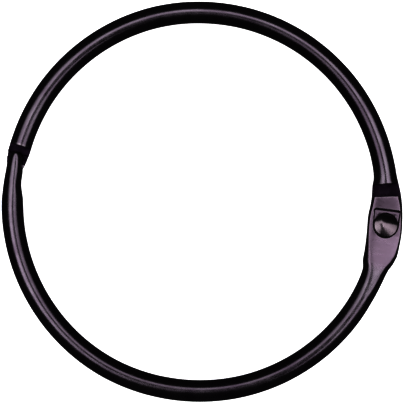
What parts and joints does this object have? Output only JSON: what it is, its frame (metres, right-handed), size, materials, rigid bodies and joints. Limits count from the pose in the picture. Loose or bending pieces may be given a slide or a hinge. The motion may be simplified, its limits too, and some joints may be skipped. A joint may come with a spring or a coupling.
{
  "type": "hinged snap ring",
  "caption": "Round wire ring in two halves with a riveted lap hinge and overlapping snap tips, opened to thread on tags, sheets or fabric.",
  "frame": {"origin": "under the middle of the outline, at the height of the surface that the ring lies on", "axes": "+Z out of the front, where the rivet's head is; +X from the snap closure towards the hinge; +Y towards the upper half"},
  "size_m": [0.0576, 0.0574, 0.0033],
  "materials": {
    "black_nickel_wire": "black nickel plating on steel wire, semi-gloss",
    "black_nickel_rivet": "black nickel plating on a steel rivet, semi-gloss"
  },
  "bodies": {
    "lower_half": {"lower_half_ring": "black_nickel_wire", "hinge_rivet": "black_nickel_rivet"},
    "upper_half": {"upper_half_ring": "black_nickel_wire"}
  },
  "joints": [
    {"name": "hinge", "type": "hinge", "parent": "lower_half", "child": "upper_half", "pos_m": [0.02618, 0, 0.00155], "axis": [0, 0, -1], "range_deg": [0, 120]}
  ]
}
